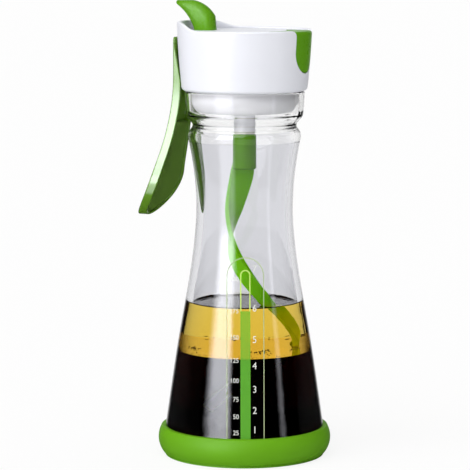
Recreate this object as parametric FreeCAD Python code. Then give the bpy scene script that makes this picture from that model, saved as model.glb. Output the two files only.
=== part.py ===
import FreeCAD, Part
import math
import os

V = FreeCAD.Vector

# Fits, in millimetres like every size here
press = 0.02
run_fit = 0.06
seat = 0.05
face_gap = 0.1
side_gap = 0.2
free_gap = 0.3
shadow_gap = 0.35
past = 1.0

# Boot and bottle
boot_floor = 2.4
boot_height = 13.7
boot_wall = 2.3
boot_foot_inset = 3.2
foot_step = 1.3
glass_wall = 3.4
glass_floor = 6.6
heel_round = 3.7
inner_heel_round = 5.0
base_radius = 38.3
waist_radius = 22.6
waist_z = 117.5
shoulder_radius = 26.4
shoulder_z = 150.2
bead_half = 2.1
bead_swell = 0.4
groove_depth = 3.2
groove_rise = 5.2
neck_rise = 5.9
neck_wall = 2.4
ledge_step = 0.6
ledge_rise = 10.0
neck_bore = 25.1
lip_wall = 1.9
finish_high = 9.7

# Lid
collar_wall = 2.0
collar_low_wall = 1.85
collar_taper = 2.2
collar_belly = 0.25
collar_edge_round = 1.6
collar_full_drop = 8.0
lid_room = 7.1
rear_rise_high = 3.5
rear_rise_run = 15.0
rear_rise_inset = 4.4
rim_round = 0.8
notch_half = 10.4
notch_deep = 20.0
notch_corner = 3.0
plug_gap = 0.45
plug_wall = 2.0
plug_drop = 1.1
plug_round = 8.0
plug_floor = 2.0
flange_thick = 1.9
deck_thick = 1.8
gasket_rise = 12.0
gasket_height = 3.4
gasket_depth = 1.2
gasket_gap = 0.12
gasket_swell = 0.35
duct_bore = 5.5
duct_wall = 1.4
duct_sunk = 0.15
screw_spread = 60.0
screw_inset = 1.85
screw_shank = 1.2
screw_head = 2.1
screw_head_high = 1.3
screw_reach = 6.0
screw_boss_wall = 1.2
post_screw_shank = 0.9
post_screw_head = 1.8
post_screw_reach = 5.0
tab_thick = 1.8
tab_half = 2.5
tab_sunk = 0.6
chute_inset = 2.2
chute_wall = 1.2
chute_floor = 1.4
chute_high = 8.4
chute_slope = 5.5

# Flip lid
plate_thick = 2.0
plate_drop = 0.8
plate_gap = 0.5
plate_round = 0.7
plate_rear_gap = 1.1
plate_rear_inset = 0.9
flip_inset = 1.5
flip_pin_radius = 1.0
flip_drop = 2.0
knuckle_radius = 2.0
knuckle_wide = 1.8
lug_wide = 1.8
lug_radius = 1.7
thumb_half = 4.5
thumb_round = 1.9
thumb_long = 10.2
thumb_overhang = 9.2
thumb_high = 14.0
thumb_crest = 7.6
thumb_brow_back = 4.2
thumb_brow_drop = 3.4
thumb_chest_drop = 7.6
flap_thick = 1.7
flap_round = 1.5
flap_proud = 0.3
seal_disc = 6.4
seal_disc_thick = 1.2
seal_stem = 3.8
seal_nose = 1.9
seal_lead = 1.0

# Handle
handle_gap = 2.2
handle_skin = 1.3
handle_edge = 4.0
handle_top_drop = 4.0
handle_long = 84.6
handle_bend_drop = 17.0
handle_bend_high = 39.0
handle_bend = 105.0
handle_stem_half = 8.0
handle_flare_drop = 21.0
handle_paddle_radius = 15.6
handle_corner = 2.6
handle_shelf_rise = 2.0
handle_edge_clear = 1.1
handle_edge_gap = 0.6
handle_crown_radius = 35.0
inlay_recess = 0.5
inlay_top_drop = 41.6
inlay_ledge = 3.4
pivot_clear = 1.4
pivot_rise = 2.0
pivot_pin_radius = 0.7
ear_radius = 1.25
ear_outer_y = 3.4
ear_wide = 1.8
arm_gap = 0.4
arm_wide = 2.6
arm_high = 3.6
arm_end = 1.6
arm_swing = 0.9
drive_pin_radius = 0.9
drive_slot_gap = 0.14
drive_rise = 1.6

# Gear train
pressure_angle = math.radians(20.0)
tooth_top = 0.7
tooth_root = 0.95
backlash = 0.1
pinion_teeth = 12
wheel_teeth = 28
wheel_face = 2.2
wheel_gap = 0.58
rack_face = 3.0
level_gap = 0.5
rack_offset = 3.36
idler_post_radius = 1.5
rack_back_y = 2.6
rack_tail_wall = 0.7
rack_teeth_behind = 3
rack_teeth_ahead = 4
spring_y = 7.2
spring_radius = 1.75
spring_wire = 0.25
spring_turns = 5
spring_room = 9.2
lug_ahead = 1.78
lug_thick = 1.6
stop_thick = 1.4
housing_inset = 4.2
housing_wall = 1.4
housing_chute_gap = 1.5
post_radius = 2.2
post_back = 5.0
post_inset = 7.4

# Spindle and blade
shaft_radius = 2.0
bush_wall = 1.5
bush_flange = 5.0
bush_flange_high = 1.5
bush_drop = 9.3
bush_rise = 3.0
bush_shoulder = 1.2
bush_collar = 1.1
boss_wall = 1.6
seal_wall = 0.4
seal_high = 2.4
clip_thick = 0.7
clip_wide = 1.5
clip_deep = 0.45
hub_radius = 5.5
hub_gap = 0.5
hub_long = 15.4
hub_round = 0.8
hub_pin_radius = 0.8
blade_socket = 5.4
blade_floor_gap = 10.0
blade_gap = 0.9
blade_pitch = 110.0
blade_start = 115.1
blade_width = 13.5
blade_tip_width = 3.6
blade_thick = 2.0
blade_root_width = 9.2
blade_root_offset = 1.5
blade_root_tilt = 94.0
blade_root_long = 24.0
blade_tilt = 138.0
blade_tip_tilt = 96.0
blade_stations = 22

# Sizes that follow, from the neck outwards and from the shoulder upwards
boot_radius = base_radius + boot_wall
boot_foot_radius = boot_radius - boot_foot_inset
floor_z = boot_floor + glass_floor
neck_radius = neck_bore + neck_wall
groove_radius = neck_radius - groove_depth
ledge_radius = neck_radius + ledge_step
groove_z = shoulder_z + groove_rise
neck_z = groove_z + neck_rise
ledge_z = neck_z + ledge_rise
lip_z = ledge_z + finish_high
finish_radius = neck_bore + lip_wall
collar_bore = finish_radius + shadow_gap
collar_low_radius = collar_bore + collar_low_wall
collar_top_radius = collar_low_radius + collar_taper
collar_inner = collar_top_radius - collar_wall
collar_bottom = ledge_z + free_gap
plug_radius = neck_bore - plug_gap
plug_bottom_z = neck_z - plug_drop
gasket_z = plug_bottom_z + gasket_rise
flange_radius = finish_radius
flange_z = lip_z + face_gap
flange_top = flange_z + flange_thick
deck_radius = finish_radius + face_gap
deck_z = flange_top + face_gap
deck_top = deck_z + deck_thick
duct_x = plug_radius - plug_wall - duct_wall - duct_bore + duct_sunk
screw_ring = plug_radius - plug_wall - screw_inset
tab_z = deck_top + face_gap

housing_radius = finish_radius - housing_inset
train_reach = pinion_teeth / 2 + wheel_teeth + tooth_top
module = (housing_radius - housing_wall - wheel_gap) / train_reach
pinion_radius = module * pinion_teeth / 2
wheel_radius = module * wheel_teeth / 2
idler_reach = pinion_radius + wheel_radius
rack_line = -rack_offset
idler_y = rack_line - pinion_radius
idler_x = -math.sqrt(idler_reach ** 2 - idler_y ** 2)
idler_angle = math.atan2(-idler_y, -idler_x)
rack_pitch = math.pi * module
lug_x = idler_x + lug_ahead
stop_x = lug_x - spring_room
wheel_z = deck_top + level_gap
rack_z = wheel_z + wheel_face + 2 * side_gap
rack_top = rack_z + rack_face
housing_z = rack_top + level_gap
housing_top = housing_z + housing_wall
chute_half = notch_half - chute_inset
chute_back = duct_x - seal_disc - free_gap
housing_flat_x = chute_back - chute_wall - housing_chute_gap
post_x = housing_flat_x - post_back
post_y = housing_radius - housing_wall - post_inset
drive_x = -(housing_radius + face_gap)
drive_z = rack_z + drive_rise
arm_y = rack_back_y + arm_gap
arm_z = drive_z - arm_high / 2

rim_z = housing_top + lid_room
rear_rim_z = rim_z + rear_rise_high
rear_rise_end = -(collar_top_radius - rear_rise_inset)
rear_rise_start = rear_rise_end + rear_rise_run
collar_full_z = rim_z - collar_full_drop
notch_tip_z = rim_z - notch_deep
plate_top = rim_z - plate_drop
plate_z = plate_top - plate_thick
flip_x = -(housing_radius + flip_inset)
flip_z = plate_z - flip_drop
lug_inner_y = arm_y + arm_wide + free_gap
knuckle_y = lug_inner_y + lug_wide + side_gap
plate_rear_x = flip_x - plate_rear_inset
thumb_back_x = flip_x - free_gap
thumb_front_x = thumb_back_x + thumb_long
thumb_tip_x = thumb_back_x - thumb_overhang
thumb_top_z = plate_top + thumb_high
flap_reach = duct_x + seal_stem + free_gap

handle_x = -(collar_top_radius + handle_gap)
handle_edge_x = -(max(ledge_radius, shoulder_radius) + handle_edge_clear)
handle_top_z = rim_z - handle_top_drop
handle_bend_z = handle_top_z - handle_bend_drop
handle_bend_turn = math.asin(handle_bend_high / handle_bend)
handle_flare_z = handle_top_z - handle_flare_drop
handle_paddle_z = handle_top_z - handle_long + handle_paddle_radius
inlay_top_z = handle_top_z - inlay_top_drop
pivot_x = -(collar_low_radius + pivot_clear)
pivot_z = collar_bottom + pivot_rise

bush_radius = shaft_radius + bush_wall
bush_low_z = plug_bottom_z - bush_drop
bush_top_z = plug_bottom_z + plug_floor + bush_rise
seal_radius = bush_radius + seal_wall
clip_z = deck_z - bush_shoulder - clip_thick - side_gap
hub_top_z = bush_low_z - hub_gap
hub_bottom_z = hub_top_z - hub_long
blade_top_z = hub_bottom_z + blade_socket
blade_bottom_z = floor_z + blade_floor_gap
blade_radius = waist_radius - glass_wall - blade_gap
hub_pin_z = (hub_top_z + blade_top_z) / 2 + hub_pin_radius


def flat(a, b):
    return V(a[0], 0, a[1]), V(b[0], 0, b[1])


def line(a, b):
    p, q = flat(a, b)
    return Part.makeLine(p, q)


def arc(a, m, b):
    p, q = flat(a, b)
    return Part.Arc(p, V(m[0], 0, m[1]), q).toShape()


def curve(points):
    spline = Part.BSplineCurve()
    spline.interpolate([V(x, 0, z) for x, z in points])
    return spline.toShape()


def face(edges):
    return Part.Face(Part.Wire(edges))


def polygon(points):
    ring = points + [points[0]]
    return face([line(a, b) for a, b in zip(ring, ring[1:])])


def upright(shape):
    if shape.Volume < 0:
        shape.reverse()
    return shape


def turned(edges):
    return upright(face(edges).revolve(V(0, 0, 0), V(0, 0, 1), 360))


def across(shape_face, y0, y1):
    piece = shape_face.extrude(V(0, y1 - y0, 0))
    piece.translate(V(0, y0, 0))
    return upright(piece)


def box(x0, x1, y0, y1, z0, z1):
    return Part.makeBox(x1 - x0, y1 - y0, z1 - z0, V(x0, y0, z0))


def rod(radius, z0, z1, x=0.0, y=0.0):
    return Part.makeCylinder(radius, z1 - z0, V(x, y, z0))


def tube(inner, outer, z0, z1, x=0.0, y=0.0):
    return rod(outer, z0, z1, x, y).cut(rod(inner, z0 - 1, z1 + 1, x, y))


def cross_rod(radius, x, z, y0, y1):
    return Part.makeCylinder(radius, y1 - y0, V(x, y0, z), V(0, 1, 0))


def between(a, b, t):
    return a + (b - a) * t


def body_points(offset):
    base_z = boot_floor + heel_round
    bead_z = shoulder_z - bead_half
    bead_radius = shoulder_radius - bead_swell
    below = ((0.0, 1.0), (0.234, 0.761), (0.442, 0.535), (0.646, 0.277), (0.85, 0.064), (1.0, 0.0))
    above = ((0.384, 0.176), (0.846, 0.735), (1.0, 1.0))
    points = []
    for f, g in below:
        points.append((between(waist_radius, base_radius, g) + offset, between(base_z, waist_z, f)))
    for f, g in above:
        points.append((between(waist_radius, bead_radius, g) + offset, between(waist_z, bead_z, f)))
    return points


def heel(offset):
    k = math.sqrt(0.5)
    radius = heel_round + offset
    centre_r = base_radius - heel_round
    centre_z = boot_floor + heel_round
    mid = (centre_r + radius * k, centre_z - radius * k)
    return (centre_r, boot_floor - offset), mid, (base_radius + offset, centre_z)


def bottle_core(offset):
    start, mid, end = heel(offset)
    points = body_points(offset)
    top = (0.0, points[-1][1])
    edges = [line((0.0, start[1]), start), arc(start, mid, end), curve(points)]
    edges.append(line(points[-1], top))
    edges.append(line(top, (0.0, start[1])))
    return turned(edges)


def shoulder_edges(offset):
    r = shoulder_radius + offset
    g = groove_radius + offset
    a = (r - bead_swell, shoulder_z - bead_half)
    b = (r - bead_swell, shoulder_z + bead_half)
    c = (g + 0.6, groove_z - 1.5)
    d = (g + 0.7, groove_z + 1.5)
    return [arc(a, (r, shoulder_z), b), line(b, c), arc(c, (g, groove_z), d)], d


def glass_bottle():
    start, mid, end = heel(0.0)
    edges = [line((0.0, start[1]), start), arc(start, mid, end), curve(body_points(0.0))]
    outer, groove_end = shoulder_edges(0.0)
    edges += outer
    rise = (neck_radius - 1.0, neck_z - 2.6)
    full = (neck_radius, neck_z)
    ledge = (ledge_radius, ledge_z - 0.7)
    ledge_in = (ledge_radius - 0.7, ledge_z)
    drop = lip_wall / 2
    edges.append(line(groove_end, rise))
    edges.append(arc(rise, (neck_radius - 0.25, neck_z - 1.4), full))
    edges.append(line(full, ledge))
    edges.append(arc(ledge, (ledge_radius - 0.2, ledge_z - 0.2), ledge_in))
    edges.append(line(ledge_in, (finish_radius, ledge_z)))
    edges.append(line((finish_radius, ledge_z), (finish_radius, lip_z - drop)))
    edges.append(arc((finish_radius, lip_z - drop), (neck_bore + drop, lip_z), (neck_bore, lip_z - drop)))
    inner, inner_groove_end = shoulder_edges(-glass_wall)
    throat = (neck_bore - 0.9, neck_z - 0.8)
    bore = (neck_bore, neck_z + 1.2)
    edges.append(line((neck_bore, lip_z - drop), bore))
    edges.append(arc(bore, (neck_bore - 0.25, neck_z + 0.1), throat))
    edges.append(line(throat, inner_groove_end))
    edges += inner
    points = body_points(-glass_wall)
    t = (floor_z + inner_heel_round - points[0][1]) / (points[1][1] - points[0][1])
    low = (between(points[0][0], points[1][0], t), floor_z + inner_heel_round)
    points[0] = low
    edges.append(curve(points))
    k = inner_heel_round * math.sqrt(0.5)
    centre = low[0] - inner_heel_round
    edges.append(arc(low, (centre + k, low[1] - k), (centre, floor_z)))
    edges.append(line((centre, floor_z), (0.0, floor_z)))
    edges.append(line((0.0, floor_z), (0.0, start[1])))
    return turned(Part.__sortEdges__(edges))


def base_boot():
    side_low = (boot_foot_radius + 0.9, foot_step)
    side_top = (boot_radius - 1.3, boot_height - 0.6)
    lip = (side_top[0] - 0.8, boot_height)
    edges = [line((0.0, 0.0), (boot_foot_radius, 0.0))]
    edges.append(line((boot_foot_radius, 0.0), (boot_foot_radius, foot_step)))
    edges.append(line((boot_foot_radius, foot_step), side_low))
    edges.append(arc(side_low, (boot_radius, boot_height * 0.56), side_top))
    edges.append(arc(side_top, (side_top[0] - 0.25, boot_height - 0.15), lip))
    edges.append(line(lip, (0.0, boot_height)))
    edges.append(line((0.0, boot_height), (0.0, 0.0)))
    return turned(edges).cut(bottle_core(seat))


def collar_radius(z):
    share = (z - collar_bottom) / (rim_z - collar_bottom)
    return between(collar_low_radius, collar_top_radius, share) + 4 * collar_belly * share * (1 - share)


def collar_side(high_z, inset):
    low_z = collar_bottom + collar_edge_round
    low, middle, high = [(collar_radius(z) - inset, z) for z in (low_z, (low_z + high_z) / 2, high_z)]
    return low, high, arc(low, middle, high)


def rear_rise():
    far = collar_top_radius + rear_rise_high
    high = rear_rim_z + rear_rise_high
    mid_x = (rear_rise_start + rear_rise_end) / 2
    mid_z = (rim_z + rear_rim_z) / 2
    run = rear_rise_start - mid_x
    rise = mid_z - rim_z
    bend = (run ** 2 + rise ** 2) / (2 * rise)
    lean = math.asin(run / bend) / 2
    step = bend * math.sin(lean)
    lift = bend * (1 - math.cos(lean))
    a = (rear_rise_start, rim_z)
    b = (mid_x, mid_z)
    c = (rear_rise_end, rear_rim_z)
    edges = [line((far, rim_z), a), arc(a, (a[0] - step, rim_z + lift), b)]
    edges.append(arc(b, (c[0] + step, rear_rim_z - lift), c))
    edges.append(line(c, (-far, rear_rim_z)))
    edges.append(line((-far, rear_rim_z), (-far, high)))
    edges.append(line((-far, high), (far, high)))
    edges.append(line((far, high), (far, rim_z)))
    return across(face(edges), -far, far)


def notch_prism(inset, x0, x1):
    half = notch_half - inset
    tip = notch_tip_z + inset
    low = tip + half
    corner_z = rim_z - notch_corner
    wide = half + notch_corner
    high = rear_rim_z + 9
    k = notch_corner * (1 - math.sqrt(0.5))

    def at(y, z):
        return V(x0, y, z)

    edges = [Part.Arc(at(-half, low), at(0, tip), at(half, low)).toShape()]
    edges.append(Part.makeLine(at(half, low), at(half, corner_z)))
    edges.append(Part.Arc(at(half, corner_z), at(half + k, rim_z - k), at(wide, rim_z)).toShape())
    edges.append(Part.makeLine(at(wide, rim_z), at(wide, high)))
    edges.append(Part.makeLine(at(wide, high), at(-wide, high)))
    edges.append(Part.makeLine(at(-wide, high), at(-wide, rim_z)))
    edges.append(Part.Arc(at(-wide, rim_z), at(-half - k, rim_z - k), at(-half, corner_z)).toShape())
    edges.append(Part.makeLine(at(-half, corner_z), at(-half, low)))
    return upright(Part.Face(Part.Wire(edges)).extrude(V(x1 - x0, 0, 0)))


def at_angle(shape, degrees):
    piece = shape.copy()
    piece.rotate(V(0, 0, 0), V(0, 0, 1), degrees)
    return piece


def screw_angles():
    return (screw_spread, -screw_spread)


def eased(shape, edges, radius):
    for share in (1.0, 0.8, 0.6, 0.4):
        try:
            smooth = shape.makeFillet(radius * share, edges)
            if smooth.isValid() and smooth.Volume > 0.8 * shape.Volume:
                return smooth
        except Part.OCCError:
            continue
    print("edges left square")
    return shape


def rounded_rim(shape):
    picked = []
    for edge in shape.Edges:
        ends = edge.BoundBox
        if ends.ZMin > rim_z - 0.01:
            picked.append(edge)
    return eased(shape, picked, rim_round)


def ear(side):
    outer = side * ear_outer_y
    inner = side * (ear_outer_y - ear_wide)
    y0 = min(outer, inner)
    y1 = max(outer, inner)
    root = -(collar_bore + tab_sunk)
    lug = cross_rod(ear_radius, pivot_x, pivot_z, y0, y1)
    return lug.fuse(box(pivot_x, root, y0, y1, pivot_z - ear_radius, pivot_z + ear_radius))


def lid_collar():
    low, high, side = collar_side(rear_rim_z, 0.0)
    edge_in = (low[0] - collar_edge_round, collar_bottom)
    k = collar_edge_round * (1 - math.sqrt(0.5))
    step_z = deck_top + 2 * side_gap
    edges = [line((collar_bore, collar_bottom), edge_in)]
    edges.append(arc(edge_in, (low[0] - k, collar_bottom + k), low))
    edges.append(side)
    edges.append(line(high, (collar_inner, rear_rim_z)))
    edges.append(line((collar_inner, rear_rim_z), (collar_inner, collar_full_z)))
    edges.append(line((collar_inner, collar_full_z), (collar_bore, step_z)))
    edges.append(line((collar_bore, step_z), (collar_bore, collar_bottom)))
    shell = rounded_rim(turned(edges).cut(rear_rise()))
    for degrees in screw_angles():
        near = screw_ring - screw_head - side_gap
        tab = box(near, collar_bore + tab_sunk, -tab_half, tab_half, tab_z, tab_z + tab_thick)
        shell = shell.fuse(at_angle(tab, degrees))
    shell = shell.fuse([ear(1), ear(-1)])
    shell = shell.cut(notch_prism(0.0, duct_x, collar_top_radius + past))
    shell = shell.cut(arm_window(-collar_top_radius - past, -housing_radius, level_gap))
    reach = ear_outer_y + past
    shell = shell.cut(cross_rod(pivot_pin_radius + press, pivot_x, pivot_z, -reach, reach))
    for degrees in screw_angles():
        hole = rod(screw_shank + press, deck_top, tab_z + tab_thick + past, screw_ring)
        shell = shell.cut(at_angle(hole, degrees))
    return shell.removeSplitter()


def arm_window(x0, x1, room):
    y1 = arm_y + arm_wide + room
    return box(x0, x1, arm_y - room, y1, arm_z - arm_swing, arm_z + arm_high + arm_swing)


def lid_plug():
    knee = plug_bottom_z + plug_round
    k = plug_round * math.sqrt(0.5)
    centre = plug_radius - plug_round
    inner = plug_radius - plug_wall
    floor_top = plug_bottom_z + plug_floor
    edges = [line((0.0, plug_bottom_z), (centre, plug_bottom_z))]
    edges.append(arc((centre, plug_bottom_z), (centre + k, knee - k), (plug_radius, knee)))
    edges.append(line((plug_radius, knee), (plug_radius, flange_z)))
    outside = edges + [line((plug_radius, flange_z), (0.0, flange_z))]
    edges.append(line((plug_radius, flange_z), (flange_radius, flange_z)))
    edges.append(line((flange_radius, flange_z), (flange_radius, flange_top)))
    edges.append(line((flange_radius, flange_top), (inner, flange_top)))
    edges.append(line((inner, flange_top), (inner, knee)))
    edges.append(line((inner, knee), (centre, floor_top)))
    edges.append(line((centre, floor_top), (0.0, floor_top)))
    edges.append(line((0.0, floor_top), (0.0, plug_bottom_z)))
    cup = turned(edges)
    boss = bush_radius + boss_wall
    nose_z = bush_low_z + bush_flange_high
    seal_z = bush_top_z
    boss_top = seal_z + seal_high + level_gap
    cup = cup.fuse(rod(boss, nose_z, boss_top))
    duct = rod(duct_bore + duct_wall, plug_bottom_z, flange_z, duct_x)
    duct = duct.common(turned(outside + [line((0.0, flange_z), (0.0, plug_bottom_z))]))
    cup = cup.fuse([duct, rod(duct_bore + duct_wall, flange_z, deck_top, duct_x)])
    for degrees in screw_angles():
        foot = flange_z - screw_reach - 2 * past
        boss = rod(screw_shank + screw_boss_wall, foot, flange_top, screw_ring)
        cup = cup.fuse(at_angle(boss, degrees))
    cup = cup.cut(rod(duct_bore, plug_bottom_z - past, deck_top + past, duct_x))
    cup = cup.cut(rod(bush_radius + press, nose_z - past, seal_z))
    cup = cup.cut(rod(seal_radius + press, seal_z, boss_top + past))
    cup = cup.cut(tube(plug_radius - gasket_depth, plug_radius + past, gasket_z, gasket_z + gasket_height))
    for degrees in screw_angles():
        hole = rod(screw_shank + press, flange_z - screw_reach - past, flange_top + past, screw_ring)
        cup = cup.cut(at_angle(hole, degrees))
    return cup.removeSplitter()


def neck_gasket():
    inner = plug_radius - gasket_depth + seat
    outer = neck_bore - gasket_gap
    z0 = gasket_z + seat
    z1 = gasket_z + gasket_height - seat
    mid = (z0 + z1) / 2
    shy = outer - gasket_swell
    edges = [line((inner, z0), (shy, z0)), arc((shy, z0), (outer, between(z0, mid, 0.5)), (shy, mid))]
    edges.append(arc((shy, mid), (outer, between(mid, z1, 0.5)), (shy, z1)))
    edges.append(line((shy, z1), (inner, z1)))
    edges.append(line((inner, z1), (inner, z0)))
    return turned(edges)


def lug_plate(side):
    y0 = min(side * lug_inner_y, side * (lug_inner_y + lug_wide))
    y1 = y0 + lug_wide
    head = cross_rod(lug_radius, flip_x, flip_z, y0, y1)
    foot = box(flip_x - lug_radius, flip_x + lug_radius, y0, y1, deck_z + side_gap, flip_z)
    return head.fuse(foot)


def post_places():
    return ((post_x, post_y), (post_x, -post_y))


def gear_deck():
    deck = rod(deck_radius, deck_z, deck_top)
    rest_x = -(housing_radius - housing_wall - level_gap)
    rest = box(rest_x, rest_x + stop_thick, -past, past, deck_z, rack_z - face_gap)
    rail_y = rack_back_y + face_gap
    rail = box(idler_x - wheel_radius, idler_x - pinion_radius, rail_y, rail_y + stop_thick, deck_z, rack_top)
    stop_half = spring_radius + level_gap
    stop = box(stop_x - stop_thick, stop_x, spring_y - stop_half, spring_y + stop_half, deck_z, rack_top)
    deck = deck.fuse([rest, rail, stop, lug_plate(1), lug_plate(-1)])
    for x, y in post_places():
        deck = deck.fuse(rod(post_radius, deck_z, housing_z - face_gap, x, y))
    low = deck_z - past
    high = deck_top + past
    deck = deck.cut(rod(bush_radius + press, low, high))
    deck = deck.cut(rod(idler_post_radius + press, low, high, idler_x, idler_y))
    deck = deck.cut(rod(duct_bore + duct_wall + seat, low, high, duct_x))
    deck = deck.cut(cross_rod(flip_pin_radius + press, flip_x, flip_z, -knuckle_y, knuckle_y))
    for x, y in post_places():
        foot = housing_z - post_screw_reach - level_gap
        deck = deck.cut(rod(post_screw_shank + press, foot, housing_z + past, x, y))
    for degrees in screw_angles():
        deck = deck.cut(at_angle(rod(screw_shank + press, low, high, screw_ring), degrees))
    return deck.removeSplitter()


def housing_block(inset, z0, z1):
    block = rod(housing_radius - inset, z0, z1)
    far = housing_radius + past
    return block.cut(box(housing_flat_x - inset, far, -far, far, z0 - past, z1 + past))


def gear_housing():
    shell = housing_block(0.0, deck_top + seat, housing_top)
    shell = shell.cut(housing_block(housing_wall, deck_top - past, housing_z))
    outside = -housing_radius - past
    inside = drive_x + arm_end + arm_swing
    y0 = rack_line - tooth_top * module - past
    y1 = arm_y + arm_wide + level_gap
    shell = shell.cut(box(outside, inside, y0, y1, rack_z - level_gap, housing_z))
    shell = shell.cut(box(outside, inside, arm_y - level_gap, y1, rack_z, housing_top + past))
    for x, y in post_places():
        shell = shell.cut(rod(post_screw_shank + press, housing_z - past, housing_top + past, x, y))
    return shell.removeSplitter()


def screw(shank, head, x, y, low, seat_z):
    body = rod(shank, low, seat_z + 2 * side_gap, x, y)
    top = rod(head, seat_z + press, seat_z + screw_head_high, x, y)
    crown = head * 2.2
    dome = Part.makeSphere(crown, V(x, y, seat_z + screw_head_high - crown))
    return body.fuse(top.common(dome)).removeSplitter()


def collar_screws():
    one = screw(screw_shank, screw_head, screw_ring, 0.0, flange_z - screw_reach, tab_z + tab_thick)
    return Part.Compound([at_angle(one, degrees) for degrees in screw_angles()])


def housing_screws():
    low = housing_z - post_screw_reach
    screws = [screw(post_screw_shank, post_screw_head, x, y, low, housing_top) for x, y in post_places()]
    return Part.Compound(screws)


def upper_bush():
    bore = shaft_radius + run_fit
    low = deck_z - bush_shoulder
    sleeve = tube(bore, bush_radius, low, deck_top)
    return sleeve.fuse(tube(bore, bush_radius + bush_collar, low, deck_z)).removeSplitter()


def lower_bush():
    bore = shaft_radius + run_fit
    flange = tube(bore, bush_flange, bush_low_z, bush_low_z + bush_flange_high)
    return flange.fuse(tube(bore, bush_radius, bush_low_z, bush_top_z)).removeSplitter()


def spindle_seal():
    z0 = bush_top_z + seat
    body = tube(shaft_radius + level_gap, seal_radius, z0, z0 + seal_high)
    lip = tube(shaft_radius + run_fit, shaft_radius + 2 * level_gap, z0, z0 + seal_high / 4)
    return body.fuse(lip).removeSplitter()


def gear_outline(teeth, phase, z):
    pitch = module * teeth / 2
    base = pitch * math.cos(pressure_angle)
    tip = pitch + tooth_top * module
    root = pitch - tooth_root * module
    low = max(base, root)
    half = math.pi / (2 * teeth) - backlash / (2 * pitch)
    start = half + math.tan(pressure_angle) - pressure_angle

    def spread(radius):
        lean = math.acos(min(1.0, base / radius))
        return start - math.tan(lean) + lean

    def at(radius, angle):
        return V(radius * math.cos(angle), radius * math.sin(angle), z)

    edges = []
    step = 2 * math.pi / teeth
    mid = (low + tip) / 2
    for tooth in range(teeth):
        a = phase + tooth * step
        up = [at(r, a - spread(r)) for r in (low, mid, tip)]
        down = [at(r, a + spread(r)) for r in (tip, mid, low)]
        if low > root + press:
            edges.append(Part.makeLine(at(root, a - spread(low)), up[0]))
        edges.append(Part.Arc(up[0], up[1], up[2]).toShape())
        edges.append(Part.Arc(up[2], at(tip, a), down[0]).toShape())
        edges.append(Part.Arc(down[0], down[1], down[2]).toShape())
        if low > root + press:
            edges.append(Part.makeLine(down[2], at(root, a + spread(low))))
        left = at(root, a + spread(low))
        right = at(root, a + step - spread(low))
        edges.append(Part.Arc(left, at(root, a + step / 2), right).toShape())
    return Part.Face(Part.Wire(edges))


def gear(teeth, phase, z0, z1):
    return upright(gear_outline(teeth, phase, z0).extrude(V(0, 0, z1 - z0)))


def idler_gear():
    wheel = gear(wheel_teeth, idler_angle, wheel_z, wheel_z + wheel_face)
    collar = rod(pinion_radius - tooth_root * module, wheel_z, rack_top)
    pinion = gear(pinion_teeth, math.pi / 2, rack_z - side_gap, rack_top)
    blank = wheel.fuse([collar, pinion])
    blank = blank.cut(rod(idler_post_radius + run_fit, wheel_z - past, rack_top + past))
    blank.translate(V(idler_x, idler_y, 0))
    return blank.removeSplitter()


def idler_post():
    return rod(idler_post_radius, deck_z, rack_top + free_gap, idler_x, idler_y)


def spindle_pinion():
    phase = idler_angle + math.pi + math.pi / pinion_teeth
    blank = gear(pinion_teeth, phase, wheel_z - face_gap, wheel_z + wheel_face)
    return blank.cut(rod(shaft_radius + press, wheel_z - past, rack_z + past))


def drive_rack():
    tip = rack_line - tooth_top * module
    root = rack_line + tooth_root * module
    slope = math.tan(pressure_angle)
    half = rack_pitch / 4 - backlash / 2
    half_tip = half - tooth_top * module * slope
    half_root = half + tooth_root * module * slope
    front = idler_x + (rack_teeth_ahead + 0.2) * rack_pitch
    tail = drive_x - drive_pin_radius - drive_slot_gap - rack_tail_wall
    points = [(tail, rack_back_y), (tail, root)]
    for k in range(-rack_teeth_behind, rack_teeth_ahead):
        centre = idler_x + (k + 0.5) * rack_pitch
        points.append((centre - half_root, root))
        points.append((centre - half_tip, tip))
        points.append((centre + half_tip, tip))
        points.append((centre + half_root, root))
    points += [(front, root), (front, rack_back_y)]
    corners = [V(x, y, rack_z) for x, y in points]
    blade = Part.Face(Part.makePolygon(corners + [corners[0]])).extrude(V(0, 0, rack_face))
    lug_end = spring_y + spring_radius + spring_wire
    lug = box(lug_x, lug_x + lug_thick, rack_back_y - level_gap, lug_end, rack_z, rack_top)
    rack = upright(blade).fuse(lug)
    half_slot = drive_pin_radius + drive_slot_gap
    low = drive_z - half_slot
    slot = box(drive_x - half_slot, drive_x + half_slot, root - past, arm_y, low, rack_top + past)
    return rack.cut(slot).removeSplitter()


def return_spring():
    z = (rack_z + rack_top) / 2
    x0 = stop_x + spring_wire + seat
    x1 = lug_x - spring_wire - seat
    pitch = (x1 - x0) / spring_turns
    coil = Part.makeHelix(pitch, x1 - x0, spring_radius)
    profile = Part.Wire(Part.makeCircle(spring_wire, V(spring_radius, 0, 0), V(0, 1, 0)))
    wire = Part.Wire(coil).makePipeShell([profile], True, True)
    wire.rotate(V(0, 0, 0), V(0, 1, 0), 90)
    wire.translate(V(x0, spring_y, z))
    return upright(wire)


def pour_chute():
    z0 = deck_top + seat
    z1 = z0 + chute_high
    far = collar_inner
    side = chute_half - chute_wall
    outer = box(chute_back - chute_wall, far, -chute_half, chute_half, z0, z1)
    inner = box(chute_back, far + past, -side, side, z0 + chute_floor, z1 + past)
    trough = outer.cut(inner).common(rod(collar_bore + level_gap, z0 - past, z1 + past))
    slope = polygon([(duct_x, z1 + past), (far, z1 + past), (far, z1 + past - chute_slope)])
    trough = trough.cut(across(slope, -chute_half - past, chute_half + past))
    return trough.cut(rod(duct_bore, z0 - past, z0 + chute_floor + past, duct_x))


def flip_pin():
    end = knuckle_y + knuckle_wide
    return cross_rod(flip_pin_radius, flip_x, flip_z, -end, end)


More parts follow.
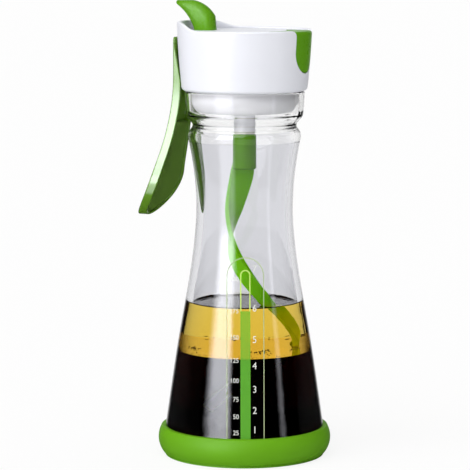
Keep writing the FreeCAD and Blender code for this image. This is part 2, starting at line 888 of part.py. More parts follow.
def flap_ring():
    top = plate_top + flap_proud
    low, outer_top, outside = collar_side(top - flap_round, 0.0)
    inner_low, inner_top, inside = collar_side(plate_z, flap_thick)
    k = flap_round * (1 - math.sqrt(0.5))
    crown = (outer_top[0] - flap_round, top)
    edges = [outside, arc(outer_top, (outer_top[0] - k, top - k), crown)]
    edges.append(line(crown, (flap_reach, top)))
    edges.append(line((flap_reach, top), (flap_reach, plate_z)))
    edges.append(line((flap_reach, plate_z), inner_top))
    edges += [inside, line(inner_low, low)]
    return turned(edges)


def spout_flap():
    return flap_ring().common(notch_prism(shadow_gap, duct_x, collar_top_radius + past)).removeSplitter()


def knuckle(side):
    y0 = side * knuckle_y
    y1 = y0 + side * knuckle_wide
    low = min(y0, y1)
    high = max(y0, y1)
    eye = cross_rod(knuckle_radius, flip_x, flip_z, low, high)
    neck = box(flip_x - lug_radius, flip_x + knuckle_radius, low, high, flip_z, plate_z + free_gap)
    return eye.fuse(neck)


def thumb_outline(y, inset):
    base = plate_z
    back = thumb_back_x + inset
    front = thumb_front_x - inset
    high = thumb_top_z - inset
    tip = (thumb_tip_x + 1.6 * inset, high - 1.0)
    tip_top = (tip[0] + 1.2, high - 0.1)
    crest = (thumb_tip_x + thumb_crest, high)
    hollow = (thumb_back_x - 2.6 + inset, plate_top + 6.2 - 0.4 * inset)
    chest = (thumb_front_x - 0.8 - inset, thumb_top_z - thumb_chest_drop)
    brow = (thumb_front_x - thumb_brow_back - 0.7 * inset, thumb_top_z - thumb_brow_drop - 0.7 * inset)
    edges = [line((back, base), (back, plate_top + 0.6)), arc((back, plate_top + 0.6), hollow, tip)]
    edges.append(arc(tip, (tip[0] + 0.2, high - 0.3), tip_top))
    edges.append(line(tip_top, crest))
    edges.append(arc(crest, brow, chest))
    edges.append(line(chest, (front, base)))
    edges.append(line((front, base), (back, base)))
    ring = Part.Wire(edges)
    ring.translate(V(0, y, 0))
    return ring


def thumb_tab():
    sections = []
    for share in (-1.0, -0.85, -0.5, 0.0, 0.5, 0.85, 1.0):
        inset = thumb_round * (1 - math.sqrt(1 - share ** 2))
        sections.append(thumb_outline(share * thumb_half, inset))
    return upright(Part.makeLoft(sections, True, False))


def top_plate(thumb):
    radius = collar_inner - plate_gap
    plate = rod(radius, plate_z, plate_top).common(rod(radius, plate_z, plate_top, plate_rear_gap))
    plate = plate.makeFillet(plate_round, [e for e in plate.Edges if e.BoundBox.ZMin > plate_top - seat])
    low = plate_z - past
    high = plate_top + past
    plate = plate.cut(box(-radius - past, plate_rear_x, -radius, radius, low, high))
    plate = plate.fuse([knuckle(1), knuckle(-1)])
    ring = tube(flap_reach - seat, collar_top_radius, low, high)
    plate = plate.cut(ring.common(notch_prism(0.0, duct_x, collar_top_radius + past)))
    plate = plate.cut(thumb)
    plate = plate.cut(cross_rod(flip_pin_radius + run_fit, flip_x, flip_z, -radius, radius))
    return plate.removeSplitter()


def spout_seal():
    floor_top = deck_top + seat + chute_floor
    disc_z = floor_top + seat
    stem = rod(seal_stem, disc_z, plate_z, duct_x)
    disc = rod(seal_disc, disc_z, disc_z + seal_disc_thick, duct_x)
    full = duct_bore - free_gap
    nose = Part.makeCone(full - seal_lead, full, seal_nose, V(duct_x, 0, disc_z - seal_nose))
    return stem.fuse([disc, nose]).removeSplitter()


def handle_strip(inset, deep):
    wide = handle_paddle_radius + past
    crown = handle_crown_radius - inset
    sag = crown - math.sqrt(crown ** 2 - wide ** 2)
    back = handle_x + inset
    front = back + deep

    def bowed(x):
        ends = [V(x + sag, side * wide, handle_bend_z) for side in (-1, 1)]
        return Part.Arc(ends[0], V(x, 0, handle_bend_z), ends[1]).toShape()

    def edge(y):
        return Part.makeLine(V(back + sag, y, handle_bend_z), V(front + sag, y, handle_bend_z))

    ring = Part.__sortEdges__([bowed(back), edge(wide), bowed(front), edge(-wide)])
    profile = Part.Face(Part.Wire(ring))
    hinge = V(handle_x - handle_bend, 0, handle_bend_z)
    turn = math.degrees(handle_bend_turn)
    stem = upright(profile.extrude(V(0, 0, handle_bend_drop + past)))
    bend = upright(profile.revolve(hinge, V(0, 1, 0), turn))
    end = profile.copy()
    end.rotate(hinge, V(0, 1, 0), turn)
    down = V(-math.sin(handle_bend_turn), 0, -math.cos(handle_bend_turn))
    paddle = upright(end.extrude(down * handle_long))
    return stem.fuse([bend, paddle])


def handle_front(inset):
    top = handle_top_z - inset
    stem = handle_stem_half - inset
    paddle = handle_paddle_radius - inset
    rise = handle_flare_z - handle_paddle_z
    spread = handle_paddle_radius - handle_stem_half
    flare = (rise ** 2 + handle_stem_half ** 2 - handle_paddle_radius ** 2) / (2 * spread)
    flare_y = handle_stem_half + flare
    away = V(0, flare_y, rise).normalize()
    half_way = (V(0, 1, 0) + away).normalize()
    far = handle_x - handle_bend

    def at(y, z):
        return V(far, y, z)

    def flank(side):
        hollow = flare + inset
        join = at(side * paddle * away.y, handle_paddle_z + paddle * away.z)
        middle = at(side * (flare_y - hollow * half_way.y), handle_flare_z - hollow * half_way.z)
        corner = (handle_corner - inset) * (1 - math.sqrt(0.5))
        shoulder = at(side * stem, handle_top_z - handle_corner)
        edges = [Part.Arc(join, middle, at(side * stem, handle_flare_z)).toShape()]
        edges.append(Part.makeLine(at(side * stem, handle_flare_z), shoulder))
        eased_corner = at(side * (stem - corner), top - corner)
        flat_end = at(side * (handle_stem_half - handle_corner), top)
        edges.append(Part.Arc(shoulder, eased_corner, flat_end).toShape())
        return join, edges, flat_end

    near, near_edges, near_top = flank(-1)
    away_join, away_edges, away_top = flank(1)
    end = Part.Arc(near, at(0, handle_paddle_z - paddle), away_join).toShape()
    edges = near_edges + [Part.makeLine(near_top, away_top)] + away_edges + [end]
    ring = Part.Wire(Part.__sortEdges__(edges))
    return upright(Part.Face(ring).extrude(V(-far, 0, 0)))


def handle_body(inset, deep):
    return handle_strip(inset, deep).common(handle_front(inset))


def collar_room():
    head_x = -(collar_top_radius + handle_edge_gap)
    shelf_z = pivot_z + handle_shelf_rise
    high = handle_top_z + past
    corners = [(head_x, high), (head_x, collar_full_z), (handle_edge_x, shelf_z)]
    corners += [(handle_edge_x, neck_z), (0.0, neck_z), (0.0, high)]
    return across(polygon(corners), -handle_paddle_radius, handle_paddle_radius)


def trigger_handle():
    shell = handle_body(0.0, handle_edge).cut(collar_room())
    shell = shell.cut(handle_body(handle_skin, handle_edge))
    arm_side = arm_y + arm_wide
    root = handle_x + handle_skin * 0.6
    arm = box(root, drive_x + arm_end, arm_y, arm_side, arm_z, arm_z + arm_high)
    shell = shell.fuse(arm)
    shell = shell.cut(cross_rod(drive_pin_radius + press, drive_x, drive_z, arm_y - past, arm_side + past))
    reach = trigger_pin_reach() + face_gap
    shell = shell.cut(cross_rod(pivot_pin_radius + run_fit, pivot_x, pivot_z, -reach, reach))
    return shell.removeSplitter()


def handle_inlay():
    sunk = handle_skin + seat
    plate = handle_body(sunk, handle_edge - inlay_recess - sunk)
    wide = handle_paddle_radius
    ledge_z = inlay_top_z + inlay_ledge
    high = handle_top_z + past
    corners = [(handle_x - handle_edge, ledge_z), (handle_edge_x, inlay_top_z), (0.0, inlay_top_z)]
    corners += [(0.0, high), (handle_x - handle_edge, high)]
    return plate.cut(across(polygon(corners), -wide, wide)).removeSplitter()


def drive_pin():
    near = rack_line + tooth_root * module + side_gap
    return cross_rod(drive_pin_radius, drive_x, drive_z, near, arm_y + arm_wide)


def trigger_pin_reach():
    return handle_stem_half - handle_skin / 2


def trigger_pin():
    reach = trigger_pin_reach()
    return cross_rod(pivot_pin_radius, pivot_x, pivot_z, -reach, reach)


def spindle_shaft():
    shaft = rod(shaft_radius, blade_top_z + 2 * level_gap, rack_z - side_gap)
    neck = shaft_radius - clip_deep
    groove = tube(neck, shaft_radius + past, clip_z - seat, clip_z + clip_thick + seat)
    return shaft.cut(groove).cut(hub_hole())


def hub_hole():
    reach = hub_radius + past
    return at_angle(cross_rod(hub_pin_radius + press, 0.0, hub_pin_z, -reach, reach), 90)


def hub_pin():
    reach = hub_radius - free_gap
    return at_angle(cross_rod(hub_pin_radius, 0.0, hub_pin_z, -reach, reach), 90)


def spindle_clip():
    outer = shaft_radius + clip_wide
    half = (shaft_radius - clip_deep) * 0.7
    ring = tube(shaft_radius - clip_deep + seat, outer, clip_z, clip_z + clip_thick)
    return ring.cut(box(0, outer, -half, half, clip_z - past, clip_z + clip_thick + past))


def blade_section(t):
    z = between(blade_top_z, blade_bottom_z, t)
    turn = -2 * math.pi / blade_pitch
    angle = math.radians(blade_start) + (z - blade_top_z) * turn
    grow = math.sin(math.pi / 2 * min(1.0, t / 0.8)) ** 1.35
    root = max(0.0, 1.0 - (blade_top_z - z) / blade_root_long)
    tilt = between(blade_tilt, blade_tip_tilt, math.sin(math.pi / 2 * t))
    tilt = math.radians(between(tilt, blade_root_tilt, math.sin(math.pi / 2 * root)))
    width = between(blade_tip_width, blade_width, (1 - t) ** 2)
    width = between(width, blade_root_width, root ** 2)
    reach = blade_radius - (width / 2) * abs(math.cos(tilt)) - blade_thick / 2
    middle = between(blade_root_offset, reach, grow)
    radial = V(math.cos(angle), math.sin(angle), 0)
    around = V(-math.sin(angle), math.cos(angle), 0)
    pitch_lean = math.atan2(blade_pitch / (2 * math.pi), middle + blade_thick)
    along = around * math.cos(pitch_lean) + V(0, 0, -1) * math.sin(pitch_lean)
    downhill = radial.cross(along)
    if downhill.z > 0:
        downhill = downhill * -1
    wide = radial * math.cos(tilt) + downhill * math.sin(tilt)
    thick = wide.cross(along)
    centre = radial * middle + V(0, 0, z)
    a = wide * (width / 2)
    b = thick * (blade_thick / 2)
    ring = [centre + a + b, centre + a - b, centre - a - b, centre - a + b]
    return Part.makePolygon(ring + [ring[0]])


def mixing_blade():
    sections = [blade_section(i / (blade_stations - 1)) for i in range(blade_stations)]
    return upright(Part.makeLoft(sections, True, False))


def blade_hub(blade):
    body = rod(hub_radius, hub_bottom_z, hub_top_z)
    body = body.makeFillet(hub_round, [e for e in body.Edges if e.BoundBox.ZLength < seat])
    body = body.cut(rod(shaft_radius + press, blade_top_z + level_gap, hub_top_z + past))
    body = body.cut(hub_hole())
    return body.cut(blade)


def main():
    os.makedirs("parts", exist_ok=True)
    blade = mixing_blade()
    thumb = thumb_tab()
    pieces = {
        "glass_bottle": glass_bottle(),
        "base_boot": base_boot(),
        "lid_collar": lid_collar(),
        "lid_plug": lid_plug(),
        "neck_gasket": neck_gasket(),
        "gear_deck": gear_deck(),
        "gear_housing": gear_housing(),
        "housing_screws": housing_screws(),
        "collar_screws": collar_screws(),
        "upper_bush": upper_bush(),
        "lower_bush": lower_bush(),
        "spindle_seal": spindle_seal(),
        "idler_post": idler_post(),
        "idler_gear": idler_gear(),
        "spindle_pinion": spindle_pinion(),
        "drive_rack": drive_rack(),
        "return_spring": return_spring(),
        "pour_chute": pour_chute(),
        "flip_pin": flip_pin(),
        "top_plate": top_plate(thumb),
        "thumb_tab": thumb,
        "spout_flap": spout_flap(),
        "spout_seal": spout_seal(),
        "trigger_handle": trigger_handle(),
        "handle_inlay": handle_inlay(),
        "drive_pin": drive_pin(),
        "trigger_pin": trigger_pin(),
        "spindle_shaft": spindle_shaft(),
        "spindle_clip": spindle_clip(),
        "hub_pin": hub_pin(),
        "blade_hub": blade_hub(blade),
        "mixing_blade": blade,
    }
    for name, shape in pieces.items():
        shape.exportStep("parts/" + name + ".step")
        print(name, len(shape.Solids), round(shape.Volume, 1), shape.isValid())


main()
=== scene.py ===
import math
import random

import bmesh
import bpy
from bpy.props import FloatProperty, FloatVectorProperty, IntProperty, PointerProperty
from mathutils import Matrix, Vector


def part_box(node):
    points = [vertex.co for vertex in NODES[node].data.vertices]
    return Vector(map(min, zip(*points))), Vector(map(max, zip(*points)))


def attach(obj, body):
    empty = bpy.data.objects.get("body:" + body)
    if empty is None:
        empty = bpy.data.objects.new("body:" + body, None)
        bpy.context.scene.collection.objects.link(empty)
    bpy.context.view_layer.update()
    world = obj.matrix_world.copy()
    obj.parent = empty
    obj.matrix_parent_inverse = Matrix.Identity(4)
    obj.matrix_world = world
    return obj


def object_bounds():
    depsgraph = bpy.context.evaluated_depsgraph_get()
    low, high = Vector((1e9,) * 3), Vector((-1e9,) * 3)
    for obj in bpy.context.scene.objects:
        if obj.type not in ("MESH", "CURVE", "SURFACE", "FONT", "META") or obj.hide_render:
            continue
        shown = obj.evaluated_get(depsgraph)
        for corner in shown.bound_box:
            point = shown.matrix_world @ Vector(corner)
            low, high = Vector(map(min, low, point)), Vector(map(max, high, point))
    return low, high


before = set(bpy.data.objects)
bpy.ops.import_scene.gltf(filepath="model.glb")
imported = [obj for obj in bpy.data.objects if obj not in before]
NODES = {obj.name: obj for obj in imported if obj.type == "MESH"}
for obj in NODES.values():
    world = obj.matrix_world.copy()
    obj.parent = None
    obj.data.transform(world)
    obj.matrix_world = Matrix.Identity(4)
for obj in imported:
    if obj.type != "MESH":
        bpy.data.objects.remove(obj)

bl_info = {
    "name": "Dressing shaker bottle",
    "version": (1, 0, 0),
    "blender": (4, 5, 0),
    "location": "View3D > Sidebar > Shaker",
    "description": "Finishes, contents and studio for a squeeze-handle dressing shaker bottle",
    "category": "Object",
}

CAD_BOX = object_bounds()
CAD_LOW = float(CAD_BOX[0][2])
CAD_TOP = float(CAD_BOX[1][2])
BOOT_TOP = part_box("base_boot")[1].z
MM = 0.001
MILLILITRE = 1e-6
PHOTO_PIXELS = 470
SENSOR_WIDTH = 36.0
CLEAR = (1.0, 1.0, 1.0)
GLASS_IOR = 1.5
OIL_IOR = 1.47
VINEGAR_IOR = 1.35


def colour(name, words, default):
    return FloatVectorProperty(
        name=name, description=words, subtype="COLOR", size=3, min=0.0, max=1.0, default=default
    )


def length(name, words, default):
    return FloatProperty(name=name, description=words, unit="LENGTH", subtype="DISTANCE", default=default)


def angle(name, words, degrees):
    return FloatProperty(
        name=name, description=words, unit="ROTATION", subtype="ANGLE", default=math.radians(degrees)
    )


def number(name, words, default):
    return FloatProperty(name=name, description=words, default=default)


class ShakerFinish(bpy.types.PropertyGroup):
    """Colours of the plastics, the glass, the print and the contents"""

    lime: colour("Lime", "Satin green of tab and flap", (0.118, 0.345, 0.008))
    lime_handle: colour("Handle lime", "Glossy green of the handle", (0.115, 0.265, 0.012))
    lime_blade: colour("Blade lime", "Green of the mixing ribbon", (0.17, 0.58, 0.005))
    lime_hub: colour("Hub lime", "Green of the hub", (0.11, 0.3, 0.015))
    lime_through: colour("Lime light", "Light that comes through the mixing ribbon", (0.8, 0.9, 0.03))
    lime_deep: colour("Deep lime", "Green of the plate set into the handle", (0.115, 0.225, 0.028))
    lime_soft: colour("Soft lime", "Green of the silicone boot", (0.125, 0.36, 0.004))
    white: colour("White", "Glossy white of collar and top plate", (0.85, 0.86, 0.92))
    satin_white: colour("Satin white", "White of the plug and the parts under the lid", (0.95, 0.95, 0.98))
    acetal: colour("Acetal", "Off-white of gears and bushes", (0.74, 0.72, 0.66))
    seal: colour("Seal", "Pale silicone of the seals", (0.62, 0.63, 0.62))
    steel: colour("Steel", "Stainless steel of pins, screws and spindle", (0.56, 0.57, 0.58))
    glass: colour("Glass", "Tint of the empty part of the bottle", (0.85, 0.852, 0.876))
    wet_glass: colour("Wet glass", "Tint of the bottle where it is filled", (0.81, 0.8, 0.8))
    oil: colour("Oil", "What is left of white light in the oil", (0.991, 0.842, 0.02))
    oil_density: number("Oil density", "How fast the oil takes its colour with depth", 50.0)
    vinegar: colour("Vinegar", "What is left of white light in the vinegar", (0.93, 0.05, 0.06))
    vinegar_density: number("Vinegar density", "How fast the vinegar takes its colour with depth", 1600.0)
    vinegar_drop: colour("Vinegar drops", "Brown of the small drops", (0.03, 0.01, 0.004))
    vinegar_deep: colour("Deep vinegar", "Look down into the vinegar", (0.006, 0.003, 0.003))
    layer_shine: colour("Layer shine", "Tint of what the vinegar's surface mirrors", (0.94, 0.83, 0.7))
    print_white: colour("White print", "Numbers of the scale", (0.9, 0.92, 0.88))
    print_pale: colour("Pale print", "Outline of the scale", (0.85, 0.95, 0.6))
    print_edge: colour("Tube print", "Outline of the scale's inner tube", (0.7, 0.92, 0.22))
    print_green: colour("Green print", "Bar of the scale", (0.165, 0.58, 0.06))
    through_white: colour("White film", "Light that comes through the numbers", (0.95, 0.95, 0.9))
    through_pale: colour("Pale film", "Light that comes through the outline", (0.4, 0.6, 0.2))
    through_edge: colour("Tube film", "Light that comes through the inner tube", (0.75, 0.95, 0.3))
    through_green: colour("Green film", "Light that comes through the bar", (1.0, 0.95, 0.3))


class ShakerSizes(bpy.types.PropertyGroup):
    """Fill levels, print, light and camera"""

    oil_top: length("Oil level", "Height of the oil's surface", 71.7 * MM)
    vinegar_top: length("Vinegar level", "Height where oil meets vinegar", 49.4 * MM)
    neck_low: length("Neck", "Height where the plug starts to fill the bottle", 148.0 * MM)
    meniscus: length("Meniscus", "How far a liquid climbs the wall", 1.0 * MM)
    drops: IntProperty(name="Drops", description="Vinegar drops in the fine row under the oil", default=150)
    thin_low: length("Thin tip", "Height below which the ribbon is thin", 66.0 * MM)
    thin_high: length("Full ribbon", "Height above which the ribbon is full", 76.0 * MM)
    print_turn: angle("Print turn", "Direction that the printed scale faces", -68.2)
    scale_top: length("Scale top", "Top of the scale's outline", 96.0 * MM)
    scale_half: length("Scale half width", "Half the width of the scale's outline", 8.6 * MM)
    bar_top: length("Bar top", "Top of the inner tube of the scale", 90.2 * MM)
    bar_half: length("Bar half width", "Half the width of the inner tube", 2.1 * MM)
    mark_step: number("Mark step", "Millilitres between numbers on the left", 25.0)
    ounce_step: number("Ounce step", "Millilitres between numbers on the right", 29.57)
    number_high: length("Number height", "Height of the printed numbers", 3.3 * MM)
    camera_turn: angle("Camera turn", "Direction of the camera, from -Y towards +X", 21.0)
    camera_pitch: angle("Camera pitch", "How far the camera looks down", 7.14)
    camera_far: length("Camera distance", "Distance from the bottle's axis", 1225.0 * MM)
    camera_high: length("Camera height", "Height above the floor", 257.0 * MM)
    lens: number("Lens", "Focal length in millimetres", 201.6)
    axis_pixel: number("Axis column", "Picture column of the bottle's axis", 244.6)
    fill_light: number("Fill light", "Even light from all round", 0.34)
    front_light: number("Front light", "Soft light from the left front", 2.1)
    top_light: number("Top light", "Soft light from above", 0.8)


def finish():
    return bpy.context.scene.shaker_finish


def sizes():
    return bpy.context.scene.shaker_sizes


# Shader helpers

def new_material(name):
    material = bpy.data.materials.new(name)
    material.use_nodes = True
    tree = material.node_tree
    return material, tree, tree.nodes["Principled BSDF"]


def set_sockets(shader, values):
    for name, value in values.items():
        shader.inputs[name].default_value = value


def opaque(tint):
    return (*tint, 1.0)


def show(tree, shader):
    tree.links.new(shader, tree.nodes["Material Output"].inputs["Surface"])


def place_of(tree):
    return tree.nodes.new("ShaderNodeTexCoord").outputs["Object"]


def face_of(tree):
    return tree.nodes.new("ShaderNodeTexCoord").outputs["Normal"]


def seen_by(tree, kind):
    """1 for a ray of this kind, else 0"""
    return tree.nodes.new("ShaderNodeLightPath").outputs[kind]


def feed(tree, sockets, values):
    """Gives each socket its number, or links it to the socket that feeds it"""
    for socket, value in zip(sockets, values):
        if isinstance(value, float):
            socket.default_value = value
        else:
            tree.links.new(value, socket)


def axis_of(tree, vector, axis):
    parts = tree.nodes.new("ShaderNodeSeparateXYZ")
    tree.links.new(vector, parts.inputs["Vector"])
    return parts.outputs[axis]


def maths(tree, operation, *values):
    node = tree.nodes.new("ShaderNodeMath")
    node.operation = operation
    feed(tree, node.inputs, values)
    return node.outputs[0]


def times(tree, first, *others):
    """The product of some values"""
    for value in others:
        first = maths(tree, "MULTIPLY", first, value)
    return first


def mixed(tree, share, first, second):
    """A value that goes from the first to the second with the share"""
    mix = tree.nodes.new("ShaderNodeMix")
    feed(tree, (mix.inputs["Factor"], mix.inputs["A"], mix.inputs["B"]), (share, first, second))
    return mix.outputs["Result"]


def ranged(tree, value, start, stop, low, high, kind):
    node = tree.nodes.new("ShaderNodeMapRange")
    node.interpolation_type = kind
    set_sockets(node, {"From Min": start, "From Max": stop, "To Min": low, "To Max": high})
    tree.links.new(value, node.inputs["Value"])
    return node.outputs["Result"]


def ramp(tree, value, start, stop, low, high):
    """A value that eases from low to high between two places"""
    return ranged(tree, value, start, stop, low, high, "SMOOTHSTEP")


def blend_shaders(tree, share, first, second):
    mix = tree.nodes.new("ShaderNodeMixShader")
    feed(tree, mix.inputs, (share, first, second))
    return mix.outputs["Shader"]


NOISE_LOW, NOISE_HIGH = 0.3, 0.7


def noise_value(tree, where, scale, detail):
    noise = tree.nodes.new("ShaderNodeTexNoise")
    set_sockets(noise, {"Scale": scale, "Detail": detail})
    tree.links.new(where, noise.inputs["Vector"])
    return noise.outputs["Fac"]


def spread(tree, noise, low, high):
    """Noise as a value between low and high"""
    return ranged(tree, noise, NOISE_LOW, NOISE_HIGH, low, high, "LINEAR")


def tinted(tree, noise, base, low, high):
    """Noise as a colour between a darker and a lighter tone of the base"""
    tones = tree.nodes.new("ShaderNodeValToRGB")
    for stop, place, share in zip(tones.color_ramp.elements, (NOISE_LOW, NOISE_HIGH), (low, high)):
        stop.position = place
        stop.color = opaque([min(1.0, part * share) for part in base])
    tree.links.new(noise, tones.inputs["Fac"])
    return tones.outputs["Color"]


def grain(tree, bsdf, height, depth, strength, ease=0.0):
    """Fine relief in the surface; with ease, the edges catch light as rounded ones do"""
    bump = tree.nodes.new("ShaderNodeBump")
    if ease:
        rounded = tree.nodes.new("ShaderNodeBevel")
        rounded.samples = 8
        rounded.inputs["Radius"].default_value = ease
        tree.links.new(rounded.outputs["Normal"], bump.inputs["Normal"])
    set_sockets(bump, {"Distance": depth, "Strength": strength})
    tree.links.new(height, bump.inputs["Height"])
    tree.links.new(bump.outputs["Normal"], bsdf.inputs["Normal"])


# Materials

def moulded(name, base, rough, gloss, mottle, pebble, depth=0.04 * MM, strength=0.25, ease=0.0):
    """A moulded plastic or rubber: faint flow marks in its colour and shine, and a fine skin"""
    material, tree, bsdf = new_material(name)
    where = place_of(tree)
    flow = noise_value(tree, where, 38.0, 3.0)
    fine = noise_value(tree, where, pebble, 4.0)
    tree.links.new(tinted(tree, flow, base, 1.0 - mottle, 1.0 + mottle), bsdf.inputs["Base Color"])
    tree.links.new(spread(tree, fine, rough * 0.85, rough * 1.15), bsdf.inputs["Roughness"])
    bsdf.inputs["Specular IOR Level"].default_value = gloss
    grain(tree, bsdf, fine, depth, strength, ease)
    return material


def glow_through(material, tint, share, tip_share):
    """Thin plastic that is lit from behind as well, most of all towards its tip"""
    tree = material.node_tree
    behind = tree.nodes.new("ShaderNodeBsdfTranslucent")
    behind.inputs["Color"].default_value = opaque(tint)
    height = axis_of(tree, place_of(tree), "Z")
    thin = ramp(tree, height, sizes().thin_low, sizes().thin_high, tip_share, share)
    solid = tree.nodes["Principled BSDF"].outputs["BSDF"]
    show(tree, blend_shaders(tree, thin, solid, behind.outputs["BSDF"]))


def brushed(name, base):
    """Turned steel with fine marks"""
    material, tree, bsdf = new_material(name)
    marks = noise_value(tree, place_of(tree), 1800.0, 5.0)
    tree.links.new(tinted(tree, marks, base, 0.9, 1.1), bsdf.inputs["Base Color"])
    tree.links.new(spread(tree, marks, 0.2, 0.34), bsdf.inputs["Roughness"])
    bsdf.inputs["Metallic"].default_value = 1.0
    grain(tree, bsdf, marks, 0.02 * MM, 0.3)
    return material


def let_light_in(tree, shader, gone=None):
    """Light from a lamp goes straight through the piece, so that what is inside is lit"""
    clear = tree.nodes.new("ShaderNodeBsdfTransparent").outputs["BSDF"]
    share = seen_by(tree, "Is Shadow Ray")
    if gone:
        share = maths(tree, "MAXIMUM", share, gone)
    show(tree, blend_shaders(tree, share, shader, clear))


def wetted_lining(tree, where, level):
    """1 on the inside of the wall below a level, where a liquid takes the place of air"""
    flat = tree.nodes.new("ShaderNodeVectorMath")
    flat.operation = "MULTIPLY"
    flat.inputs[1].default_value = (1.0, 1.0, 0.0)
    tree.links.new(where, flat.inputs[0])
    dot = tree.nodes.new("ShaderNodeVectorMath")
    dot.operation = "DOT_PRODUCT"
    feed(tree, dot.inputs, (face_of(tree), flat.outputs["Vector"]))
    facing = dot.outputs["Value"]
    from_within = tree.nodes.new("ShaderNodeNewGeometry").outputs["Backfacing"]
    facing = mixed(tree, from_within, facing, times(tree, facing, -1.0))
    low = maths(tree, "LESS_THAN", axis_of(tree, where, "Z"), level)
    return times(tree, maths(tree, "LESS_THAN", facing, 0.0), low)


def blown_glass(name, dry, wet, level, brink, neck):
    """Clear glass with the slight waves of a moulded bottle, and clearer at the neck"""
    material, tree, bsdf = new_material(name)
    where = place_of(tree)
    tints = tree.nodes.new("ShaderNodeValToRGB")
    stops = tints.color_ramp
    stops.interpolation = "CONSTANT"
    stops.elements[0].color = opaque(wet)
    for bound, tint in ((level, dry), (neck, CLEAR)):
        stops.elements.new(bound / CAD_TOP).color = opaque(tint)
    stops.elements.remove(stops.elements[-1])
    tree.links.new(maths(tree, "DIVIDE", axis_of(tree, where, "Z"), CAD_TOP), tints.inputs["Fac"])
    tree.links.new(tints.outputs["Color"], bsdf.inputs["Base Color"])
    set_sockets(bsdf, {"Roughness": 0.0, "IOR": GLASS_IOR, "Transmission Weight": 1.0})
    grain(tree, bsdf, noise_value(tree, where, 55.0, 1.0), 0.3 * MM, 0.12)
    let_light_in(tree, bsdf.outputs["BSDF"], wetted_lining(tree, where, brink))
    return material


UPRIGHT = 0.3


def liquid(name, left_over, density, ior):
    """A clear liquid that takes colour with depth: air lies on its surface and glass on its sides"""
    material, tree, bsdf = new_material(name)
    set_sockets(bsdf, {"Base Color": opaque(CLEAR), "Roughness": 0.0, "IOR": ior, "Transmission Weight": 1.0})
    side = tree.nodes.new("ShaderNodeBsdfGlass")
    set_sockets(side, {"Color": opaque(CLEAR), "Roughness": 0.0, "IOR": ior / GLASS_IOR})
    slope = maths(tree, "ABSOLUTE", axis_of(tree, face_of(tree), "Z"))
    upright = maths(tree, "LESS_THAN", slope, UPRIGHT)
    depth = tree.nodes.new("ShaderNodeVolumeAbsorption")
    set_sockets(depth, {"Color": opaque(left_over), "Density": density})
    tree.links.new(depth.outputs["Volume"], tree.nodes["Material Output"].inputs["Volume"])
    let_light_in(tree, blend_shaders(tree, upright, bsdf.outputs["BSDF"], side.outputs["BSDF"]))
    return material


def bead_liquid(name, base):
    """Drops too small to see through"""
    material, tree, bsdf = new_material(name)
    cloud = noise_value(tree, place_of(tree), 900.0, 2.0)
    tree.links.new(tinted(tree, cloud, base, 0.7, 1.3), bsdf.inputs["Base Color"])
    set_sockets(bsdf, {"Roughness": 0.15, "Specular IOR Level": 0.1})
    return material


def layer_line(name, base, shine, ior):
    """Where the oil lies on the vinegar: a mirror at a flat look and dark from above"""
    material, tree, bsdf = new_material(name)
    set_sockets(bsdf, {"Base Color": opaque(base), "Roughness": 0.6, "Specular IOR Level": 0.0})
    mirror = tree.nodes.new("ShaderNodeBsdfGlossy")
    set_sockets(mirror, {"Color": opaque(shine), "Roughness": 0.0})
    flat_look = tree.nodes.new("ShaderNodeFresnel")
    flat_look.inputs["IOR"].default_value = ior
    show(tree, blend_shaders(tree, flat_look.outputs["Fac"], bsdf.outputs["BSDF"], mirror.outputs["BSDF"]))
    return material


def ink(name, base, through, clear_share):
    """Screen print: a thin film that lets a share of what is behind it through, tinted"""
    material, tree, bsdf = new_material(name)
    cover = noise_value(tree, place_of(tree), 2400.0, 3.0)
    tree.links.new(tinted(tree, cover, base, 0.9, 1.05), bsdf.inputs["Base Color"])
    set_sockets(bsdf, {"Roughness": 0.5, "Specular IOR Level": 0.1})
    film = tree.nodes.new("ShaderNodeBsdfTransparent")
    film.inputs["Color"].default_value = opaque(through)
    share = spread(tree, cover, clear_share * 0.9, clear_share * 1.1)
    show(tree, blend_shaders(tree, share, bsdf.outputs["BSDF"], film.outputs["BSDF"]))
    return material


# Mesh helpers

SHARP = math.radians(35.0)
ON_AXIS = 0.001 * MM


def dress(nodes, material):
    for name in nodes:
        piece = NODES[name]
        piece.data.materials.clear()
        piece.data.materials.append(material)


def finished_mesh(name, work):
    mesh = bpy.data.meshes.new(name)
    work.to_mesh(mesh)
    work.free()
    return mesh


def linked(name, data):
    made = bpy.data.objects.new(name, data)
    bpy.context.scene.collection.objects.link(made)
    return made


def new_piece(name, mesh, material):
    """A piece of the scene's own that rides on the bottle"""
    piece = linked(name, mesh)
    mesh.materials.append(material)
    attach(piece, "bottle")
    return piece


def turned_mesh(name, outline, segments=160):
    """A lathe mesh from (radius, height) points; points on the axis become poles"""
    work = bmesh.new()
    rings = []
    for radius, z in outline:
        if radius < ON_AXIS:
            rings.append([work.verts.new((0.0, 0.0, z))])
            continue
        ring = []
        for i in range(segments):
            a = 2.0 * math.pi * i / segments
            ring.append(work.verts.new((radius * math.cos(a), radius * math.sin(a), z)))
        rings.append(ring)
    for low, high in zip(rings, rings[1:]):
        for i in range(segments):
            j = (i + 1) % segments
            corners = [low[i % len(low)], low[j % len(low)], high[j % len(high)], high[i % len(high)]]
            unique = list(dict.fromkeys(corners))
            if len(unique) > 2:
                work.faces.new(unique)
    bmesh.ops.recalc_face_normals(work, faces=work.faces)
    for face in work.faces:
        face.smooth = True
    for edge in work.edges:
        edge.smooth = edge.calc_face_angle(0.0) < SHARP
    return finished_mesh(name, work)


# The bottle's wall, read from its node

FAR = 100.0 * MM
NEAR_AXIS = 0.1 * MM


